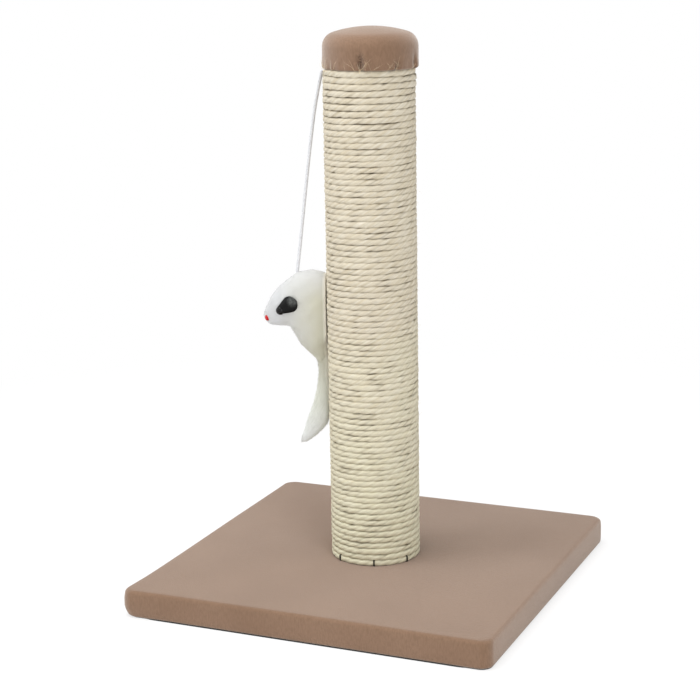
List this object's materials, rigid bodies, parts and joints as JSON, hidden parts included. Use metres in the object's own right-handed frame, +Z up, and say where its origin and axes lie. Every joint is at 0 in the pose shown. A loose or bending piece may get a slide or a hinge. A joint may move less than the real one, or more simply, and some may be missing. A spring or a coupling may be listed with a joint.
{
  "type": "cat scratching post",
  "caption": "Fabric-covered square base with an upright post wound in sisal rope, a padded domed cap, and a furry toy mouse hanging on a cord from under the cap.",
  "frame": {"origin": "centre of the underside of the base", "axes": "+Z up along the post, the front edge of the base faces -Y"},
  "size_m": [0.304, 0.304, 0.4526],
  "materials": {
    "particleboard": "sawn, unfinished",
    "velour": "short plush pile",
    "nonwoven": "matte",
    "zinc_steel": "zinc plated",
    "plug_wood": "turned, unfinished",
    "cardboard": "wound paper",
    "sisal": "twisted natural fibre",
    "foam": "soft foam",
    "white_cord": "braided",
    "white_fur": "long soft pile",
    "red_bead": "gloss",
    "black_bead": "gloss",
    "black_leather": "soft, matte"
  },
  "bodies": {
    "stand": {"base_board": "particleboard", "base_cover": "velour", "backing_sheet": "nonwoven", "base_bolt": "zinc_steel", "bolt_washer": "zinc_steel", "tee_nut": "zinc_steel", "bottom_plug": "plug_wood", "post_tube": "cardboard", "top_plug": "plug_wood", "sisal_rope_1": "sisal", "sisal_rope_2": "sisal", "sisal_rope_3": "sisal", "sisal_rope_4": "sisal", "cap_screw": "zinc_steel", "cap_disc": "particleboard", "cap_pad": "foam", "cap_cover": "velour"},
    "cord_end": {"cord_knot": "white_cord"},
    "cord": {"toy_cord": "white_cord"},
    "mouse": {"mouse_body": "white_fur", "mouse_tail": "white_fur", "mouse_nose": "red_bead", "mouse_eyes": "black_bead", "mouse_ears": "black_leather"}
  },
  "joints": [
    {"name": "side_swing", "type": "hinge", "parent": "stand", "child": "cord_end", "pos_m": [-0.03791, -0.00466, 0.41816], "axis": [-0.9925, -0.1219, 0], "range_deg": [-75, 75]},
    {"name": "swing_out", "type": "hinge", "parent": "cord_end", "child": "cord", "pos_m": [-0.03791, -0.00466, 0.41816], "axis": [-0.1219, 0.9925, 0], "range_deg": [0, 75]},
    {"name": "mouse_spin", "type": "hinge", "parent": "cord", "child": "mouse", "pos_m": [-0.06243, -0.00767, 0.255], "axis": [-0.1356, -0.0167, -0.9906], "range_deg": [-180, 180]}
  ]
}
